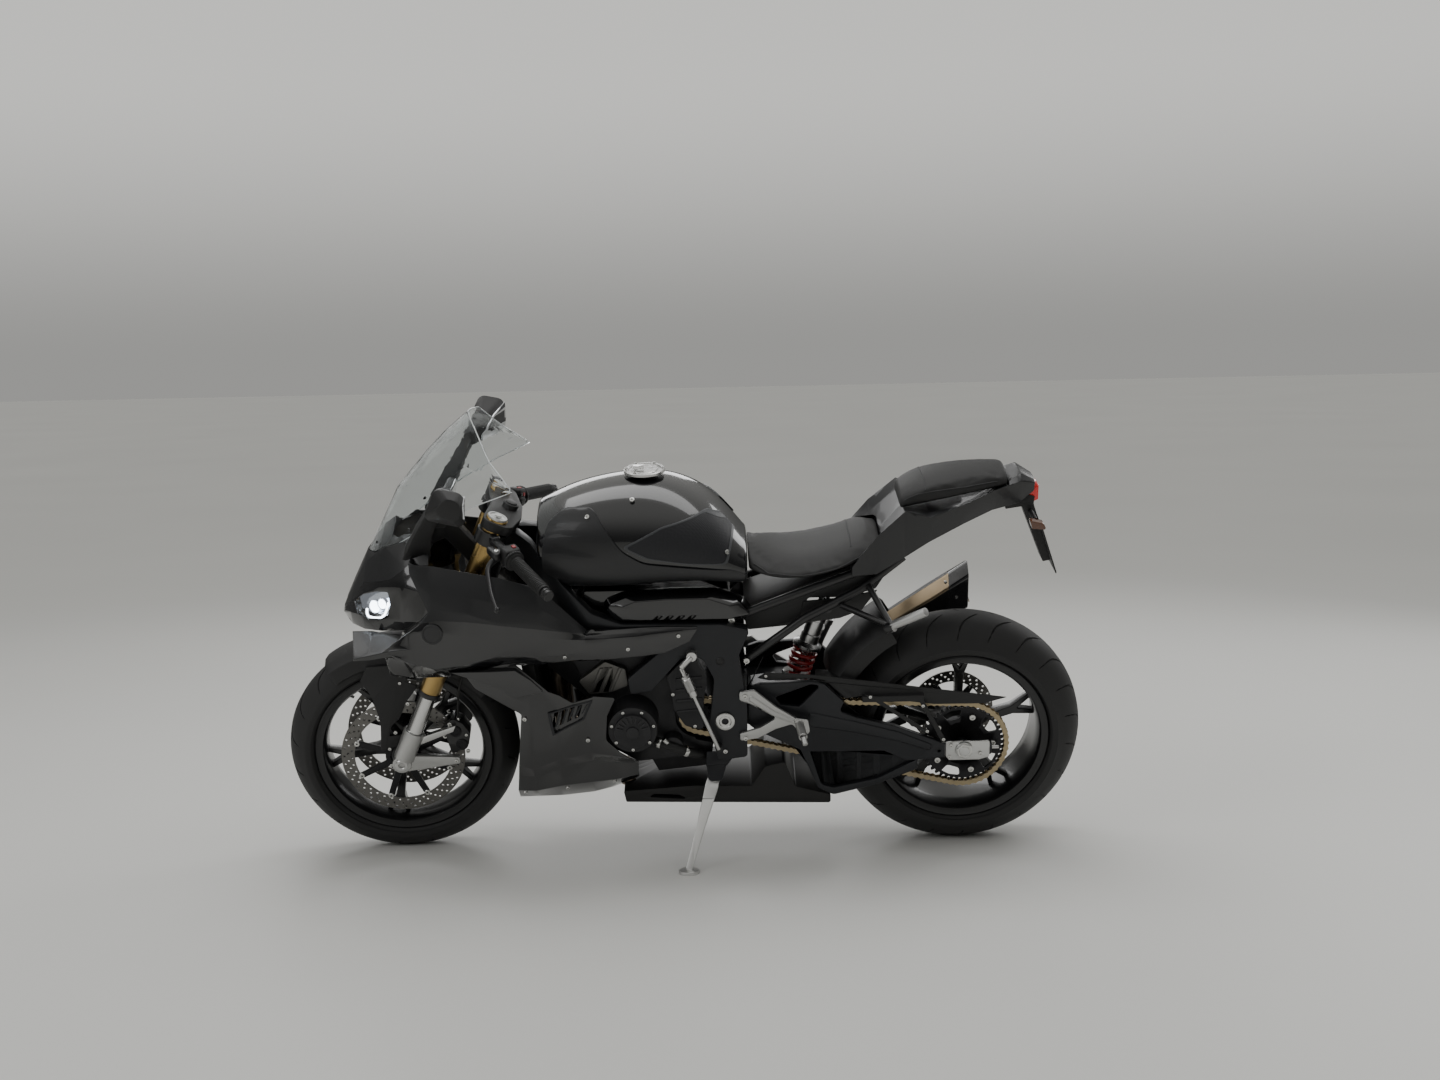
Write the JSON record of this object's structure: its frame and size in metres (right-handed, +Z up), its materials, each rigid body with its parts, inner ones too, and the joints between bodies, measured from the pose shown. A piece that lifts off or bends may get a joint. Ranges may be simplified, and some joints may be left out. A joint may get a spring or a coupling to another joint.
{
  "type": "sport motorcycle",
  "caption": "Fully faired sport motorcycle leaning on its side stand, with turning wheels, steering and a folding stand.",
  "frame": {"origin": "on the floor under the middle of the parked motorcycle's box", "axes": "+X towards the rear wheel, +Y to the rider's right, +Z up; the motorcycle leans 14 degrees to -Y"},
  "size_m": [2.0766, 0.848, 1.199],
  "materials": {
    "frame_alloy": "satin",
    "black_steel": "satin",
    "engine_casting": "satin",
    "radiator_black": "matte",
    "exhaust_steel": "heat tinted",
    "silencer_black": "satin",
    "gloss_black": "gloss",
    "satin_black": "satin",
    "pad_rubber": "dimpled",
    "moulded_black": "matte",
    "lamp_glass": "clear",
    "clear_screen": "clear",
    "seat_cover": "matte",
    "red_lens": "gloss",
    "machined_alloy": "machined",
    "gold_anodised": "anodised",
    "shock_steel": "gloss",
    "chain_gold": "plated",
    "grip_rubber": "ribbed",
    "tyre_rubber": "matte",
    "wheel_black": "gloss",
    "disc_steel": "ground",
    "stand_steel": "satin"
  },
  "bodies": {
    "chassis": {"frame": "frame_alloy", "subframe": "black_steel", "engine": "engine_casting", "radiator": "radiator_black", "exhaust_headers": "exhaust_steel", "airbox": "moulded_black", "battery_box": "moulded_black", "silencer": "silencer_black", "fuel_tank": "gloss_black", "filler_cap": "machined_alloy", "tank_side_covers": "satin_black", "knee_pads": "pad_rubber", "nose_fairing": "satin_black", "headlights": "lamp_glass", "windscreen": "clear_screen", "dash": "moulded_black", "side_fairing_left": "gloss_black", "side_fairing_right": "gloss_black", "belly_pan_left": "gloss_black", "belly_pan_right": "gloss_black", "rider_seat": "seat_cover", "pillion_seat": "seat_cover", "tail_fairing": "satin_black", "tail_light": "red_lens", "plate_holder": "moulded_black", "rider_footrests": "machined_alloy", "passenger_footrests": "black_steel", "gear_linkage": "machined_alloy", "brake_pedal": "machined_alloy", "swingarm": "frame_alloy", "shock_absorber": "shock_steel", "rear_hugger": "moulded_black", "rear_caliper": "black_steel", "chain": "chain_gold", "mirrors": "moulded_black"},
    "steering": {"fork_lower_legs": "machined_alloy", "fork_outer_tubes": "gold_anodised", "triple_clamps": "black_steel", "handlebars": "grip_rubber", "front_fender": "moulded_black", "front_calipers": "black_steel"},
    "front_wheel": {"front_tyre": "tyre_rubber", "front_rim": "wheel_black", "front_discs": "disc_steel"},
    "rear_wheel": {"rear_tyre": "tyre_rubber", "rear_rim": "wheel_black", "rear_disc": "disc_steel", "rear_sprocket": "black_steel"},
    "side_stand": {"side_stand": "stand_steel"}
  },
  "joints": [
    {"name": "steering", "type": "hinge", "parent": "chassis", "child": "steering", "pos_m": [-0.4337, 0.03702, 0.90342], "axis": [0.3989, -0.2217, 0.8898], "range_deg": [-28.4, 19.6]},
    {"name": "front_wheel_spin", "type": "hinge", "parent": "steering", "child": "front_wheel", "pos_m": [-0.73914, 0.1873, 0.29109], "axis": [-0.0707, 0.96, 0.2709], "continuous": true},
    {"name": "rear_wheel_spin", "type": "hinge", "parent": "chassis", "child": "rear_wheel", "pos_m": [0.71775, 0.18446, 0.31389], "axis": [-0.0004, 0.9703, 0.2419], "continuous": true},
    {"name": "side_stand_fold", "type": "hinge", "parent": "chassis", "child": "side_stand", "pos_m": [0.0779, 0.05089, 0.2203], "axis": [-0.0004, -0.9609, 0.277], "range_deg": [0, 112]}
  ]
}
